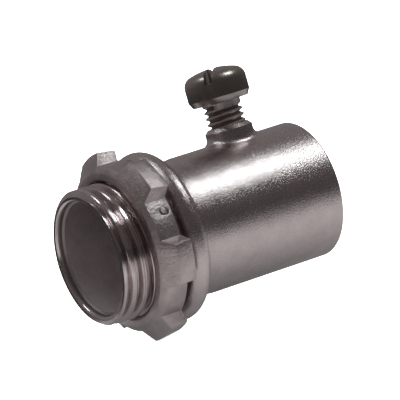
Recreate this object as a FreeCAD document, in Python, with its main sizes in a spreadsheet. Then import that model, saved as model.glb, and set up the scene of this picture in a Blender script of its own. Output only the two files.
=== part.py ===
"""Set-screw connector for thin-wall conduit: a one-piece steel body, its locknut and its set screw.

The row frame has its origin on the body's axis, in the plane of the shoulder face that bears on a box wall.
+X runs along the axis from the threaded nipple to the open end of the conduit socket.
+Z is the axis of the set screw, towards its head. Lengths are in millimetres.
"""

import FreeCAD, Part
import math
import os

import Sketcher

X_AXIS = FreeCAD.Vector(1, 0, 0)
Y_AXIS = FreeCAD.Vector(0, 1, 0)
Z_AXIS = FreeCAD.Vector(0, 0, 1)

# Every driving dimension, as a cell of the sheet. Positions along X are counted from the shoulder face.
DIMENSIONS = {
    # Threaded nipple
    "nipple_length": 10.1,
    "nipple_pitch": 1.814,
    "nipple_crest_radius": 10.3,
    "nipple_root_radius": 9.45,
    "nipple_lead_length": 0.7,
    "nipple_thread_inset": -0.81,
    "nipple_thread_turns": 5.5,
    "rim_radius": 9.85,
    "lip_round": 0.6,
    "mouth_bore_radius": 8.75,
    "mouth_step_depth": 1.25,
    "mouth_step_slope": 0.3,
    "throat_radius": 8.45,
    # Rolled bead that forms the shoulder
    "bead_radius": 12.95,
    "bead_front_round": 2.0,
    "bead_back_round": 1.4,
    "bead_root_round": 0.9,
    "bead_crease_radius": 9.9,
    "bead_crease_half_width": 0.25,
    "neck_end": 8.0,
    "neck_radius": 15.0,
    # Conduit socket
    "tube_radius": 10.5,
    "tube_end": 28.55,
    "tube_end_round": 0.4,
    "socket_radius": 9.15,
    "socket_chamfer": 0.5,
    "stop_position": 3.6,
    "stop_slope": 0.5,
    # Extruded boss that carries the set screw
    "screw_position": 18.75,
    "boss_radius": 3.65,
    "boss_height": 12.1,
    "boss_foot": 9.6,
    "boss_root_round": 1.1,
    "boss_lip_radius": 3.1,
    "boss_lip_height": 0.55,
    "boss_bore_radius": 2.97,
    # Set screw
    "screw_radius": 2.92,
    "screw_root_radius": 2.4,
    "screw_pitch": 0.907,
    "screw_tip_height": 9.35,
    "screw_point_chamfer": 0.5,
    "screw_neck": 0.55,
    "screw_thread_turns": 7.6,
    "head_seat_height": 16.35,
    "head_seat_radius": 4.25,
    "head_skirt_height": 0.9,
    "head_radius": 4.75,
    "head_wall_height": 3.1,
    "head_corner_radius": 3.6,
    "head_corner_height": 4.65,
    "head_height": 5.25,
    "slot_width": 1.3,
    "slot_depth": 2.2,
    "slot_angle": 48.0,
    "cross_length": 4.8,
    "cross_width": 1.1,
    "cross_depth": 2.5,
    # Locknut
    "nut_bore_radius": 10.36,
    "nut_bore_chamfer": 0.4,
    "nut_front": 5.3,
    "nut_land": 5.15,
    "nut_land_radius": 11.7,
    "nut_front_rim": 3.4,
    "nut_back": 1.7,
    "nut_back_rim": 0.55,
    "nut_front_radius": 14.5,
    "nut_back_radius": 14.15,
    "notch_radius": 12.6,
    "notch_corner_height": 12.25,
    "notch_half_width": 2.95,
    "notch_flare": 2.8,
    "notch_top": 15.0,
    "notch_turn": 15.3,
    "stake_position": 2.25,
    "stake_turn": 70.5,
    "stake_tilt": 18.0,
    "stake_radius": 0.6,
    "stake_depth": 0.2,
}
NOTCH_COUNT = 6
NIPPLE_GROOVE = ((0.20, 0.0), (0.52, 0.75), (0.82, 0.97))
SCREW_GROOVE = ((0.06, 0.0), (0.42, 0.62))

doc = FreeCAD.newDocument("set_screw_connector")
sheet = doc.addObject("Spreadsheet::Sheet", "Dimensions")
for row, (alias, number) in enumerate(DIMENSIONS.items(), start=1):
    sheet.set(f"A{row}", alias)
    sheet.set(f"B{row}", str(number))
    sheet.setAlias(f"B{row}", alias)
doc.recompute()


def value(formula):
    """Number that a formula such as 'tube_end - tube_end_round' stands for."""
    total = 0.0
    sign = 1.0
    for word in formula.split():
        if word in ("+", "-"):
            sign = 1.0 if word == "+" else -1.0
        else:
            total += sign * float(sheet.get(word) if word in DIMENSIONS else word)
            sign = 1.0
    return total


def expression(formula):
    """The same formula as a FreeCAD expression on the sheet's cells."""
    return " ".join("Dimensions." + word if word in DIMENSIONS else word for word in formula.split())


def bind(item, **formulas):
    """Ties properties of an object to the sheet."""
    for name, formula in formulas.items():
        item.setExpression(name, expression(formula))


def arc_edge(start, end, radius):
    """Circle arc from start to end: anticlockwise for a positive radius, clockwise for a negative one."""
    chord = end - start
    size = abs(radius)
    rise = math.sqrt(max(size ** 2 - (chord.Length / 2) ** 2, 0.0))
    side = FreeCAD.Vector(-chord.y, chord.x, 0).normalize() * rise
    centre = (start + end) * 0.5 + (side if radius > 0 else -side)
    first, last = (start, end) if radius > 0 else (end, start)
    angle_first = math.atan2(first.y - centre.y, first.x - centre.x)
    angle_last = math.atan2(last.y - centre.y, last.x - centre.x)
    if angle_last < angle_first:
        angle_last += 2 * math.pi
    circle = Part.Circle(centre, Z_AXIS, size)
    return Part.ArcOfCircle(circle, angle_first, angle_last)


def draw_outline(sketch, corners):
    """Closes a loop of edges through the corners and ties each corner to the sheet.

    A corner is (x, y) or (x, y, radius); a radius makes the edge that arrives at the corner an arc of
    that radius, anticlockwise, or clockwise where the formula starts with a minus sign.
    """
    points = [FreeCAD.Vector(value(corner[0]), value(corner[1]), 0) for corner in corners]
    count = len(corners)
    ends = []
    for index in range(count):
        arriving = corners[(index + 1) % count]
        start = points[index]
        end = points[(index + 1) % count]
        if len(arriving) == 2:
            edge = sketch.addGeometry(Part.LineSegment(start, end), False)
            ends.append((edge, 1, 2))
            continue
        radius = value(arriving[2])
        edge = sketch.addGeometry(arc_edge(start, end, radius), False)
        ends.append((edge, 1, 2) if radius > 0 else (edge, 2, 1))
        size = sketch.addConstraint(Sketcher.Constraint("Radius", edge, abs(radius)))
        sketch.setExpression(f"Constraints[{size}]", expression(arriving[2].lstrip("- ")))
    for index in range(count):
        edge, first, last = ends[index]
        following, following_first, following_last = ends[(index + 1) % count]
        sketch.addConstraint(Sketcher.Constraint("Coincident", edge, last, following, following_first))
        across, along = corners[index][:2]
        for kind, formula, axis in (("DistanceX", across, -2), ("DistanceY", along, -1)):
            if formula == "0":
                sketch.addConstraint(Sketcher.Constraint("PointOnObject", edge, first, axis))
                continue
            place = sketch.addConstraint(Sketcher.Constraint(kind, -1, 1, edge, first, value(formula)))
            sketch.setExpression(f"Constraints[{place}]", expression(formula))


def part_sketch(name, corners, placement):
    """Free-standing sketch for Part features."""
    sketch = doc.addObject("Sketcher::SketchObject", name)
    sketch.Placement = placement
    draw_outline(sketch, corners)
    return sketch


def revolve(name, sketch, axis):
    """Solid of revolution of a sketch about an axis through the origin or the screw position."""
    solid = doc.addObject("Part::Revolution", name)
    solid.Source = sketch
    solid.Axis = axis
    solid.Base = sketch.Placement.Base
    solid.Angle = 360
    solid.Solid = True
    return solid


def cylinder(name, radius, base, height):
    """Upright cylinder on the screw's axis."""
    solid = doc.addObject("Part::Cylinder", name)
    bind(solid, Radius=radius, Height=height)
    solid.setExpression("Placement.Base.x", expression("screw_position"))
    solid.setExpression("Placement.Base.z", expression(base))
    return solid


def combine(kind, name, base, tool):
    """Part::Cut or Part::Fuse of two objects."""
    result = doc.addObject(kind, name)
    result.Base = base
    result.Tool = tool
    return result


def thread_groove(name, placement, root, pitch, turns, half_profile):
    """Right-hand helical groove, swept along an axis that starts at the placement and runs along its Z.

    half_profile gives (half width, height above the root) from the root outwards.
    """
    helix = doc.addObject("Part::Helix", name + "_helix")
    bind(helix, Pitch=pitch, Radius=root)
    helix.setExpression("Height", f"{expression(pitch)} * {expression(turns)}")
    helix.Placement = placement
    section = [(f"{root} + {height}", str(width)) for width, height in half_profile]
    section += [(f"{root} + {height}", str(-width)) for width, height in reversed(half_profile)]
    upright = FreeCAD.Placement(FreeCAD.Vector(), FreeCAD.Rotation(X_AXIS, 90))
    sketch = part_sketch(name + "_section", section, placement.multiply(upright))
    sweep = doc.addObject("Part::Sweep", name)
    sweep.Sections = [sketch]
    sweep.Spine = (helix, [])
    sweep.Solid = True
    sweep.Frenet = True
    return sweep


def round_edges(name, base, chosen):
    """Part::Fillet of (edge number, radius) pairs."""
    fillet = doc.addObject("Part::Fillet", name)
    fillet.Base = base
    fillet.Edges = [(number, radius, radius) for number, radius in chosen]
    return fillet


AXIAL_PLANE = FreeCAD.Placement(FreeCAD.Vector(), FreeCAD.Rotation(X_AXIS, 90))


def make_connector_body():
    """One formed and rolled piece: threaded nipple, shoulder bead, conduit socket and screw boss."""
    outline = [
        ("- nipple_length", "mouth_bore_radius + lip_round", "- lip_round"),
        ("- nipple_length", "rim_radius"),
        ("- nipple_length + nipple_lead_length", "nipple_crest_radius"),
        ("0", "nipple_crest_radius"),
        ("0", "bead_radius - bead_front_round"),
        ("bead_front_round", "bead_radius", "- bead_front_round"),
        ("bead_front_round + bead_back_round", "bead_radius - bead_back_round", "- bead_back_round"),
        ("bead_front_round + bead_back_round", "tube_radius + bead_root_round"),
        ("bead_front_round + bead_back_round + bead_root_round", "tube_radius", "bead_root_round"),
        ("neck_end", "tube_radius", "neck_radius"),
        ("tube_end - tube_end_round", "tube_radius"),
        ("tube_end", "tube_radius - tube_end_round", "- tube_end_round"),
        ("tube_end", "socket_radius + socket_chamfer"),
        ("tube_end - socket_chamfer", "socket_radius"),
        ("stop_position + stop_slope", "socket_radius"),
        ("stop_position", "throat_radius"),
        ("bead_front_round + bead_crease_half_width", "throat_radius"),
        ("bead_front_round", "bead_crease_radius"),
        ("bead_front_round - bead_crease_half_width", "throat_radius"),
        ("- nipple_length + mouth_step_depth", "throat_radius"),
        ("- nipple_length + mouth_step_depth - mouth_step_slope", "mouth_bore_radius"),
        ("- nipple_length + lip_round", "mouth_bore_radius"),
    ]
    shell = revolve("shell", part_sketch("shell_outline", outline, AXIAL_PLANE), X_AXIS)
    boss = cylinder("boss", "boss_radius", "boss_foot", "boss_height - boss_foot")
    joined = combine("Part::Fuse", "shell_with_boss", shell, boss)
    doc.recompute()
    chosen = []
    for number, edge in enumerate(joined.Shape.Edges, start=1):
        box = edge.BoundBox
        if not math.isclose(box.XLength, value("boss_radius + boss_radius"), abs_tol=0.01):
            continue
        if box.ZLength > 0.01:
            chosen.append((number, value("boss_root_round")))
    rounded = round_edges("drawn_boss", joined, chosen)
    lip = doc.addObject("Part::Cone", "boss_lip")
    bind(lip, Radius1="boss_radius", Radius2="boss_lip_radius", Height="boss_lip_height")
    lip.setExpression("Placement.Base.x", expression("screw_position"))
    lip.setExpression("Placement.Base.z", expression("boss_height"))
    lipped = combine("Part::Fuse", "lipped_boss", rounded, lip)
    bore = cylinder("boss_bore", "boss_bore_radius", "boss_foot - 3", "boss_height - boss_foot + 6")
    bored = combine("Part::Cut", "bored_shell", lipped, bore)
    start = FreeCAD.Vector(value("nipple_thread_inset - nipple_length"), 0, 0)
    along_nipple = FreeCAD.Placement(start, FreeCAD.Rotation(Y_AXIS, 90))
    groove = thread_groove(
        "nipple_groove",
        along_nipple,
        "nipple_root_radius",
        "nipple_pitch",
        "nipple_thread_turns",
        NIPPLE_GROOVE,
    )
    return combine("Part::Cut", "connector_body", bored, groove)


def make_set_screw():
    """Domed-head screw with a slot and a cross recess, and a right-hand thread to its chamfered point."""
    head = "head_seat_height"
    outline = [
        ("0", "screw_tip_height"),
        ("screw_radius - screw_point_chamfer", "screw_tip_height"),
        ("screw_radius", "screw_tip_height + screw_point_chamfer"),
        ("screw_radius", head),
        ("head_seat_radius", head),
        ("head_radius", f"{head} + head_skirt_height"),
        ("head_radius", f"{head} + head_wall_height"),
        ("head_corner_radius", f"{head} + head_corner_height", "1.75"),
        ("0", f"{head} + head_height", "12.0"),
    ]
    at_screw = FreeCAD.Vector(value("screw_position"), 0, 0)
    on_axis = FreeCAD.Placement(at_screw, AXIAL_PLANE.Rotation)
    blank = revolve("screw_blank", part_sketch("screw_outline", outline, on_axis), Z_AXIS)
    slots = []
    for name, length, width, depth, turn in (
        ("slot", "head_radius + head_radius + 1", "slot_width", "slot_depth", 0),
        ("cross", "cross_length", "cross_width", "cross_depth", 90),
    ):
        blade = doc.addObject("Part::Box", name)
        bind(blade, Length=length, Width=width, Height=f"{depth} + 1")
        rotation = FreeCAD.Rotation(Z_AXIS, value("slot_angle") + turn)
        corner = rotation.multVec(FreeCAD.Vector(value(length) / -2, value(width) / -2, 0))
        base = at_screw + corner + Z_AXIS * value(f"{head} + head_height - {depth}")
        blade.Placement = FreeCAD.Placement(base, rotation)
        slots.append(blade)
    recess = combine("Part::Fuse", "recess", *slots)
    driven = combine("Part::Cut", "driven_blank", blank, recess)
    turns = value("screw_thread_turns")
    start = at_screw + Z_AXIS * (value(f"{head} - screw_neck") - turns * value("screw_pitch"))
    groove = thread_groove(
        "screw_groove",
        FreeCAD.Placement(start, FreeCAD.Rotation()),
        "screw_root_radius",
        "screw_pitch",
        "screw_thread_turns",
        SCREW_GROOVE,
    )
    return combine("Part::Cut", "set_screw", driven, groove)


def origin_feature(body, role):
    """Origin plane or axis of a PartDesign body."""
    return next(item for item in body.Origin.OriginFeatures if item.Role == role)


def body_sketch(body, name, plane, corners):
    """Sketch on an origin plane of a PartDesign body."""
    sketch = body.newObject("Sketcher::SketchObject", name)
    sketch.AttachmentSupport = [(origin_feature(body, plane), "")]
    sketch.MapMode = "FlatFace"
    draw_outline(sketch, corners)
    return sketch


def make_locknut():
    """Dished, stamped nut with six flared notches in its rim and a crescent punch mark in one of them."""
    body = doc.addObject("PartDesign::Body", "locknut_blank")
    ring_outline = [
        ("- nut_front + nut_bore_chamfer", "nut_bore_radius"),
        ("- nut_front", "nut_bore_radius + nut_bore_chamfer"),
        ("- nut_land", "nut_land_radius"),
        ("- nut_front_rim", "nut_front_radius"),
        ("- nut_back_rim", "nut_back_radius"),
        ("- nut_back", "nut_bore_radius + nut_bore_chamfer"),
        ("- nut_back - nut_bore_chamfer", "nut_bore_radius"),
    ]
    ring = body.newObject("PartDesign::Revolution", "dished_ring")
    ring_sketch = body_sketch(body, "ring_outline", "XZ_Plane", ring_outline)
    ring.Profile = ring_sketch
    ring.ReferenceAxis = (ring_sketch, ["H_Axis"])
    ring.Angle = 360
    doc.recompute()
    notch_outline = [
        ("- notch_half_width", "notch_corner_height"),
        ("notch_half_width", "notch_corner_height", "- notch_radius"),
        ("notch_half_width + notch_flare", "notch_top"),
        ("- notch_half_width - notch_flare", "notch_top"),
    ]
    notch = body.newObject("PartDesign::Pocket", "rim_notch")
    notch.Profile = body_sketch(body, "notch_outline", "YZ_Plane", notch_outline)
    notch.Midplane = True
    bind(notch, Length="nut_front + nut_front + 2")
    doc.recompute()
    notches = body.newObject("PartDesign::PolarPattern", "rim_notches")
    notches.Originals = [notch]
    notches.Axis = (origin_feature(body, "X_Axis"), [""])
    notches.Angle = 360
    notches.Occurrences = NOTCH_COUNT
    body.Tip = notches
    body.Placement = FreeCAD.Placement(FreeCAD.Vector(), FreeCAD.Rotation(X_AXIS, value("notch_turn")))
    doc.recompute()
    stake = doc.addObject("Part::Torus", "staking_mark")
    bind(stake, Radius1="stake_radius", Radius2="stake_depth")
    outward = FreeCAD.Rotation(X_AXIS, value("stake_turn")).multVec(Z_AXIS)
    spot = outward * value("notch_radius") - X_AXIS * value("stake_position")
    stake.Placement = FreeCAD.Placement(spot, FreeCAD.Rotation(X_AXIS, value("stake_turn + stake_tilt")))
    return combine("Part::Cut", "locknut", body, stake)


SUB_PARTS = [make_connector_body(), make_locknut(), make_set_screw()]
doc.recompute()
for item in doc.Objects:
    faults = [state for state in item.State if state in ("Invalid", "Error")]
    if faults:
        raise RuntimeError(f"{item.Name} did not compute: {faults}")
for item in SUB_PARTS:
    item.Label = item.Name
    if item.Shape.isNull() or not item.Shape.isValid() or len(item.Shape.Solids) != 1:
        raise RuntimeError(f"{item.Label} is not one valid solid")

os.makedirs("parts", exist_ok=True)
for item in SUB_PARTS:
    item.Shape.exportStep(os.path.join("parts", item.Label + ".step"))
    print(f"{item.Label}: {item.Shape.Volume:.1f} mm3")
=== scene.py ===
import math

import bmesh
import bpy
from mathutils import Matrix, Vector


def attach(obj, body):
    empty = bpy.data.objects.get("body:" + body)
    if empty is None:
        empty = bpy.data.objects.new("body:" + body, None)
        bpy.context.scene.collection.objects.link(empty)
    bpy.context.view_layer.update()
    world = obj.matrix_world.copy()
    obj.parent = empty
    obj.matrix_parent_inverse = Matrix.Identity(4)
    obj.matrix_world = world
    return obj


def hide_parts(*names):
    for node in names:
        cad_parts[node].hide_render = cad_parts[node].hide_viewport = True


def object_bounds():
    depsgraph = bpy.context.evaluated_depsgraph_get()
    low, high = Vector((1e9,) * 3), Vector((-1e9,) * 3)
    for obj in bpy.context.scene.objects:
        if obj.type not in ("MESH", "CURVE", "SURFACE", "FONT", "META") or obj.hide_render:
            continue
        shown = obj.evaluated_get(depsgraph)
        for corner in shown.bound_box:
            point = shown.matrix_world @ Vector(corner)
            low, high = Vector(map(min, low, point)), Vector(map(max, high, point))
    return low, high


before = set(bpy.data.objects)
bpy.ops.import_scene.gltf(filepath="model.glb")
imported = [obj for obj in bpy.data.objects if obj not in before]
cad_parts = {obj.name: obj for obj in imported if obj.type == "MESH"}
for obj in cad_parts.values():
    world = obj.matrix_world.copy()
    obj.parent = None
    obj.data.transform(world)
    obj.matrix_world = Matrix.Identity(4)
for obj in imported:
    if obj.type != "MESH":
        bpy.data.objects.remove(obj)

MM = 0.001
cad_box = [list(corner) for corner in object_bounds()]

# ---------------------------------------------------------------- camera
# Angles in degrees, in the frame's own axes
CAMERA_AZIMUTH = -29.40
CAMERA_ELEVATION = 3.51
CAMERA_ROLL = -15.98
CAMERA_DISTANCE = 515.3 * MM
CAMERA_TARGET = Vector((10.67, -0.02, 3.25)) * MM
CAMERA_LENS_MM = 311.4
CAMERA_SENSOR_MM = 36.0
CAMERA_NEAR = 0.01
CAMERA_FAR = 20.0

# ---------------------------------------------------------------- places on the object, in the frame's axes
# The body lies along X, with the nipple's mouth at its negative end and the screw upright on the tube
NIPPLE_FADE = (-0.4 * MM, 0.3 * MM)
LIP_X = -9.8 * MM
STEP_X = -8.8 * MM
BORE_FADE = (9.4 * MM, 9.3 * MM)
SCREW_AXIS_POINT = (18.75 * MM, 0.0, 0.0)
HEAD_SEAT_HEIGHT = 16.3 * MM
SCREW_CREST_FADE = (2.66 * MM, 2.84 * MM)

# ---------------------------------------------------------------- surfaces
# Grain is the noise's scale per metre and its depth
BODY_TINT = (0.60, 0.52, 0.52)
BODY_ROUGHNESS = 0.24
BODY_GRAIN = (4600.0, 0.05 * MM)
LOCKNUT_TINT = (0.56, 0.48, 0.48)
LOCKNUT_ROUGHNESS = 0.33
LOCKNUT_GRAIN = (2400.0, 0.12 * MM)
LOCKNUT_MOTTLE = 0.2
SCREW_TINT = (0.38, 0.33, 0.31)
SCREW_ROUGHNESS = 0.31
SCREW_GRAIN = (4600.0, 0.01 * MM)
# Painted glint: the lighter colour given to the screw thread's crests
CREST_GLINT_COLOUR = (0.85, 0.78, 0.76, 1.0)

BLOTCH_SCALE = 420.0
BLOTCH_LEVELS = (0.35, 0.65)
CRYSTAL_LEVELS = (0.3, 0.7)
ROUGHNESS_SPREAD = 0.2

# Rolled lines on the nipple: noise scale along each axis, and depth
LINE_SPREAD = (4200.0, 90.0, 90.0)
LINE_DEPTH = 0.14 * MM
NIPPLE_ROUGHNESS = 0.15

# Inside the bore the plating is duller, and its colour is darkened as painted shade, more on the lip than
# past the step
BORE_ROUGHNESS = 0.5
BORE_METALLIC = 0.84
LIP_SHADE = 0.6
DEEP_SHADE = 0.8

# ---------------------------------------------------------------- small rounds on sharp edges
LOCKNUT_ROUND = 0.14 * MM
SCREW_ROUND = 0.05 * MM
WELD_DISTANCE = 0.002 * MM
FLAT_ANGLE = math.radians(0.5)
ROUNDED_ANGLE = math.radians(20)
CREASE_ANGLE = math.radians(42)

# ---------------------------------------------------------------- stage
FLOOR_HALF_WIDTH = 3.0
FLOOR_GAP = 0.1 * MM
FLOOR_CENTRE = (9.0 * MM, 6.0 * MM)
FLOOR_WHITE = 0.9
FLOOR_GLOW = 0.8

# The floor in the metal's reflections is a pool of light, drawn out along X, with painted shadow where it
# falls dark under the object. The list below gives the distance from its middle in metres, then the level,
# and POOL_RANGE is the distance that the colour ramp spans.
POOL_SQUASH = (0.4, 1.0, 1.0)
POOL_RANGE = 0.1
POOL_AND_SHADOW_LEVELS = (
    (0.004, 0.02),
    (0.011, 0.06),
    (0.014, 0.14),
    (0.018, 0.30),
    (0.023, 0.52),
    (0.032, 0.76),
    (0.046, 0.52),
    (0.058, 0.05),
)

# The room in the metal's reflections, from its dark front to its lighter back and top
ROOM_SLOPE = (0.1, 0.75, 0.55)
ROOM_GAIN = 0.6
ROOM_MIDDLE = 0.3
ROOM_TONES = (
    (0.06, (0.092, 0.083, 0.080)),
    (0.48, (0.145, 0.132, 0.130)),
    (0.81, (0.250, 0.236, 0.236)),
)
SURROUND_STRENGTH = 2.2

# Distant round softboxes: name, direction towards the light, width in degrees, strength as irradiance
SOFTBOX_COLOUR = (0.9, 1.0, 1.0)
SOFTBOXES = (
    ("key", (0.49, -0.43, 0.755), 20.0, 0.75),
    ("left", (-0.37, 0.17, 0.91), 17.0, 0.4),
)


# ---------------------------------------------------------------- node helpers
class Nodes:
    """Short way to add shader nodes and wire them."""

    def __init__(self, tree):
        self.tree = tree
        tree.nodes.clear()

    def add(self, kind, values=None, **settings):
        """A new node. values gives its inputs, by name or number, as numbers or as outputs to link."""
        node = self.tree.nodes.new(kind)
        for name, setting in settings.items():
            setattr(node, name, setting)
        for name, given in (values or {}).items():
            socket = node.inputs[name]
            if isinstance(given, bpy.types.NodeSocket):
                self.tree.links.new(given, socket)
            else:
                socket.default_value = given
        return node

    def number(self, operation, *operands):
        node = self.add("ShaderNodeMath", dict(enumerate(operands)), operation=operation)
        return node.outputs["Value"]

    def vector(self, operation, *operands):
        node = self.add("ShaderNodeVectorMath", dict(enumerate(operands)), operation=operation)
        return node.outputs["Vector"]

    def measure(self, operation, *operands):
        """The single number that a length or a dot product gives."""
        node = self.add("ShaderNodeVectorMath", dict(enumerate(operands)), operation=operation)
        return node.outputs["Value"]

    def remap(self, source, limits, results):
        """A straight change from the first result to the second between the limits, level beyond them."""
        values = {
            "Value": source,
            "From Min": limits[0],
            "From Max": limits[1],
            "To Min": results[0],
            "To Max": results[1],
        }
        return self.add("ShaderNodeMapRange", values).outputs["Result"]

    def mix_numbers(self, mask, first, second):
        return self.add("ShaderNodeMix", {0: mask, 2: first, 3: second}, data_type="FLOAT").outputs[0]

    def mix_colours(self, mask, first, second):
        return self.add("ShaderNodeMix", {0: mask, 6: first, 7: second}, data_type="RGBA").outputs[2]

    def ramp(self, source, stops):
        node = self.add("ShaderNodeValToRGB", {"Fac": source})
        elements = node.color_ramp.elements
        while len(elements) < len(stops):
            elements.new(0.5)
        for element, (position, colour) in zip(elements, stops):
            element.position = position
            element.color = colour if len(colour) == 4 else (*colour, 1.0)
        return node.outputs["Color"]

    def link(self, output, socket):
        self.tree.links.new(output, socket)


def grey(level):
    return (level, level, level, 1.0)


def feeding(socket):
    """The output that now feeds a shader socket."""
    return socket.links[0].from_socket


# ---------------------------------------------------------------- materials
def zinc(name, tint, roughness, grain, mottle=0.12):
    """Zinc-plated steel with a crystalline grain and a faintly blotchy tone.

    Returns the material, its nodes, the place on the object, and the shader, for later additions.
    """
    material = bpy.data.materials.new(name)
    material.use_nodes = True
    nodes = Nodes(material.node_tree)
    scale, depth = grain
    place = nodes.add("ShaderNodeTexCoord").outputs["Object"]
    blotch = nodes.add(
        "ShaderNodeTexNoise",
        {"Vector": place, "Scale": BLOTCH_SCALE, "Detail": 4.0, "Roughness": 0.6},
    ).outputs["Fac"]
    crystals = nodes.add(
        "ShaderNodeTexNoise",
        {"Vector": place, "Scale": scale, "Detail": 4.0, "Roughness": 0.65},
    ).outputs["Fac"]
    dark = tuple(channel * (1.0 - mottle) for channel in tint)
    uneven = (roughness * (1.0 - ROUGHNESS_SPREAD), roughness * (1.0 + ROUGHNESS_SPREAD))
    bump = nodes.add("ShaderNodeBump", {"Height": crystals, "Strength": 1.0, "Distance": depth})
    shader = nodes.add(
        "ShaderNodeBsdfPrincipled",
        {
            "Base Color": nodes.ramp(blotch, list(zip(BLOTCH_LEVELS, (dark, tint)))),
            "Metallic": 1.0,
            "Roughness": nodes.remap(crystals, CRYSTAL_LEVELS, uneven),
            "Normal": bump.outputs["Normal"],
        },
    )
    nodes.add("ShaderNodeOutputMaterial", {"Surface": shader.outputs["BSDF"]})
    return material, nodes, place, shader


def add_lines(nodes, place, shader, mask):
    """Fine rolled lines: stretched noise, where the mask is 1."""
    stretched = nodes.vector("MULTIPLY", place, LINE_SPREAD)
    streak = nodes.add("ShaderNodeTexNoise", {"Vector": stretched, "Scale": 1.0, "Detail": 3.0})
    bump = nodes.add(
        "ShaderNodeBump",
        {
            "Height": nodes.number("MULTIPLY", streak.outputs["Fac"], mask),
            "Strength": 1.0,
            "Distance": LINE_DEPTH,
            "Normal": feeding(shader.inputs["Normal"]),
        },
    )
    nodes.link(bump.outputs["Normal"], shader.inputs["Normal"])


def body_zinc():
    """Bright body: rolled lines in place of grain on the nipple, duller inside the bore, where painted
    shade darkens its colour.
    """
    material, nodes, place, shader = zinc("body_zinc", BODY_TINT, BODY_ROUGHNESS, BODY_GRAIN)
    along = nodes.add("ShaderNodeSeparateXYZ", {"Vector": place}).outputs["X"]
    from_axis = nodes.measure("LENGTH", nodes.vector("MULTIPLY", place, (0.0, 1.0, 1.0)))
    on_nipple = nodes.remap(along, NIPPLE_FADE, (1.0, 0.0))
    in_bore = nodes.remap(from_axis, BORE_FADE, (0.0, 1.0))
    inside = nodes.number("MULTIPLY", in_bore, nodes.number("GREATER_THAN", along, LIP_X))
    on_thread = nodes.number("MULTIPLY", on_nipple, nodes.number("SUBTRACT", 1.0, inside))

    grain = feeding(shader.inputs["Normal"]).node
    nodes.link(nodes.number("SUBTRACT", 1.0, on_thread), grain.inputs["Strength"])
    add_lines(nodes, place, shader, on_thread)

    deep = nodes.number("GREATER_THAN", along, STEP_X)
    dulled = nodes.number("MULTIPLY", inside, deep)
    smoother = nodes.mix_numbers(on_thread, feeding(shader.inputs["Roughness"]), NIPPLE_ROUGHNESS)
    outer_colour = feeding(shader.inputs["Base Color"])
    # Painted shade: the bore's colour scaled darker, more between the lip and the step than past it
    shaded_bore_colour = nodes.add(
        "ShaderNodeVectorMath",
        {0: outer_colour, "Scale": nodes.remap(deep, (0.0, 1.0), (LIP_SHADE, DEEP_SHADE))},
        operation="SCALE",
    ).outputs["Vector"]
    nodes.link(nodes.remap(dulled, (0.0, 1.0), (1.0, BORE_METALLIC)), shader.inputs["Metallic"])
    nodes.link(nodes.mix_numbers(inside, smoother, BORE_ROUGHNESS), shader.inputs["Roughness"])
    nodes.link(nodes.mix_colours(inside, outer_colour, shaded_bore_colour), shader.inputs["Base Color"])
    return material


def locknut_zinc():
    """Stamped nut: duller and blotchier than the body, with a coarser and deeper relief."""
    return zinc("locknut_zinc", LOCKNUT_TINT, LOCKNUT_ROUGHNESS, LOCKNUT_GRAIN, LOCKNUT_MOTTLE)[0]


def screw_zinc():
    """Darker plating on the screw, with a painted glint: the crests of its thread are lighter in colour."""
    material, nodes, place, shader = zinc("screw_zinc", SCREW_TINT, SCREW_ROUGHNESS, SCREW_GRAIN)
    from_point = nodes.vector("SUBTRACT", place, SCREW_AXIS_POINT)
    from_axis = nodes.measure("LENGTH", nodes.vector("MULTIPLY", from_point, (1.0, 1.0, 0.0)))
    crest = nodes.remap(from_axis, SCREW_CREST_FADE, (0.0, 1.0))
    height = nodes.add("ShaderNodeSeparateXYZ", {"Vector": place}).outputs["Z"]
    # Painted glint: the thread's crests below the head take a lighter colour
    glint_band = nodes.number("MULTIPLY", crest, nodes.number("LESS_THAN", height, HEAD_SEAT_HEIGHT))
    colour = nodes.mix_colours(glint_band, feeding(shader.inputs["Base Color"]), CREST_GLINT_COLOUR)
    nodes.link(colour, shader.inputs["Base Color"])
    return material


# ---------------------------------------------------------------- pieces
def clothe(node_name, material):
    """Puts a material on a CAD node."""
    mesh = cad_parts[node_name].data
    mesh.materials.clear()
    mesh.materials.append(material)


def softened(node_name, body, width):
    """Copy of a CAD node with small rounds on its sharp edges, which stands for the node."""
    mesh = bmesh.new()
    mesh.from_mesh(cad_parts[node_name].data)
    bmesh.ops.remove_doubles(mesh, verts=mesh.verts, dist=WELD_DISTANCE)
    bmesh.ops.dissolve_limit(mesh, angle_limit=FLAT_ANGLE, verts=mesh.verts, edges=mesh.edges)
    sharp = [edge for edge in mesh.edges if edge.is_manifold and edge.calc_face_angle() > ROUNDED_ANGLE]
    bmesh.ops.bevel(
        mesh,
        geom=sharp,
        offset=width,
        offset_type="OFFSET",
        segments=2,
        profile=0.5,
        affect="EDGES",
        clamp_overlap=True,
    )
    for face in mesh.faces:
        face.smooth = True
    for edge in mesh.edges:
        edge.smooth = not edge.is_manifold or edge.calc_face_angle() < CREASE_ANGLE
    data = bpy.data.meshes.new(node_name + "_softened")
    mesh.to_mesh(data)
    mesh.free()
    piece = bpy.data.objects.new(node_name + "_softened", data)
    bpy.context.scene.collection.objects.link(piece)
    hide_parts(node_name)
    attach(piece, body)
    return piece


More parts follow.
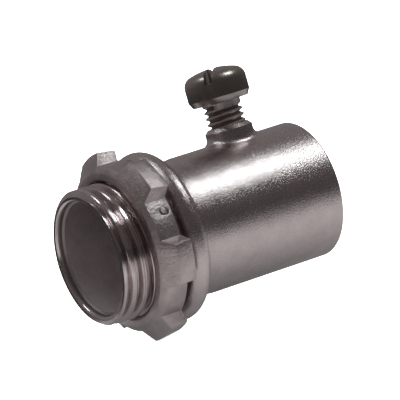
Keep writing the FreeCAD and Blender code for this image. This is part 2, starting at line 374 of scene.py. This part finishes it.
# ---------------------------------------------------------------- camera, floor, surround and lights
def make_camera():
    """Long-lens camera at the viewing angle, turned about its own axis by the roll."""
    azimuth = math.radians(CAMERA_AZIMUTH)
    elevation = math.radians(CAMERA_ELEVATION)
    back = Vector((
        math.sin(azimuth) * math.cos(elevation),
        -math.cos(azimuth) * math.cos(elevation),
        math.sin(elevation),
    ))
    data = bpy.data.cameras.new("camera")
    data.lens = CAMERA_LENS_MM
    data.sensor_width = CAMERA_SENSOR_MM
    data.clip_start = CAMERA_NEAR
    data.clip_end = CAMERA_FAR
    camera = bpy.data.objects.new("camera", data)
    camera.rotation_mode = "QUATERNION"
    level = (-back).to_track_quat("-Z", "Y").to_matrix()
    turn = level @ Matrix.Rotation(math.radians(CAMERA_ROLL), 3, "Z")
    camera.rotation_quaternion = turn.to_quaternion()
    camera.location = CAMERA_TARGET + back * CAMERA_DISTANCE
    bpy.context.scene.collection.objects.link(camera)
    bpy.context.scene.camera = camera


def pale_floor():
    """Evenly pale to the camera, and a pool of light round the object in the metal's reflections,
    with a painted shadow under the object at the pool's middle.
    """
    material = bpy.data.materials.new("pale_floor")
    material.use_nodes = True
    nodes = Nodes(material.node_tree)
    place = nodes.add("ShaderNodeTexCoord").outputs["Object"]
    distance = nodes.measure("LENGTH", nodes.vector("MULTIPLY", place, POOL_SQUASH))
    across_ramp = nodes.number("MULTIPLY", distance, 1.0 / POOL_RANGE)
    # Painted pool of light, with painted shadow under the object where its level falls near the middle
    pool = nodes.ramp(across_ramp, [(reach / POOL_RANGE, grey(level)) for reach, level in POOL_AND_SHADOW_LEVELS])
    camera_ray = nodes.add("ShaderNodeLightPath").outputs["Is Camera Ray"]
    white = nodes.ramp(camera_ray, [(0.0, grey(0.0)), (1.0, grey(FLOOR_WHITE))])
    lit = nodes.add("ShaderNodeBsdfDiffuse", {"Color": white})
    shown = nodes.mix_colours(camera_ray, pool, grey(FLOOR_GLOW))
    glow = nodes.add("ShaderNodeEmission", {"Color": shown, "Strength": 1.0})
    both = nodes.add("ShaderNodeAddShader", {0: lit.outputs["BSDF"], 1: glow.outputs["Emission"]})
    nodes.add("ShaderNodeOutputMaterial", {"Surface": both.outputs["Shader"]})
    return material


def make_floor():
    """Plain pale floor just under the lowest lug."""
    half = FLOOR_HALF_WIDTH
    level = cad_box[0][2] - FLOOR_GAP
    corners = [(-half, -half, level), (half, -half, level), (half, half, level), (-half, half, level)]
    mesh = bpy.data.meshes.new("floor")
    mesh.from_pydata(corners, [], [(0, 1, 2, 3)])
    floor = bpy.data.objects.new("floor", mesh)
    floor.location.x, floor.location.y = FLOOR_CENTRE
    bpy.context.scene.collection.objects.link(floor)
    mesh.materials.append(pale_floor())


def make_world():
    """Soft studio surround: white to the camera and on the floor, a dim room in the metal's reflections."""
    world = bpy.data.worlds.new("studio")
    bpy.context.scene.world = world
    world.use_nodes = True
    nodes = Nodes(world.node_tree)
    direction = nodes.add("ShaderNodeTexCoord").outputs["Generated"]
    towards_back = nodes.measure("DOT_PRODUCT", direction, ROOM_SLOPE)
    room = nodes.ramp(nodes.number("MULTIPLY_ADD", towards_back, ROOM_GAIN, ROOM_MIDDLE), ROOM_TONES)
    path = nodes.add("ShaderNodeLightPath")
    open_ray = nodes.number("MAXIMUM", path.outputs["Is Camera Ray"], path.outputs["Is Diffuse Ray"])
    mirrored = nodes.add("ShaderNodeBackground", {"Color": room, "Strength": 1.0})
    seen = nodes.add("ShaderNodeBackground", {"Color": grey(1.0), "Strength": SURROUND_STRENGTH})
    mixed = nodes.add("ShaderNodeMixShader", {0: open_ray, 1: mirrored.outputs[0], 2: seen.outputs[0]})
    nodes.add("ShaderNodeOutputWorld", {"Surface": mixed.outputs[0]})


def make_softbox(name, direction, width, strength):
    """Distant round softbox, a little cool."""
    data = bpy.data.lights.new(name, "SUN")
    data.color = SOFTBOX_COLOUR
    data.angle = math.radians(width)
    data.energy = strength
    light = bpy.data.objects.new(name, data)
    light.rotation_mode = "QUATERNION"
    light.rotation_quaternion = Vector(direction).to_track_quat("Z", "Y")
    bpy.context.scene.collection.objects.link(light)


make_camera()
make_world()
make_floor()
for softbox in SOFTBOXES:
    make_softbox(*softbox)

bpy.context.scene.view_settings.view_transform = "Standard"

clothe("connector_body", body_zinc())
softened("set_screw", "screw", SCREW_ROUND).data.materials.append(screw_zinc())
softened("locknut", "nut", LOCKNUT_ROUND).data.materials.append(locknut_zinc())
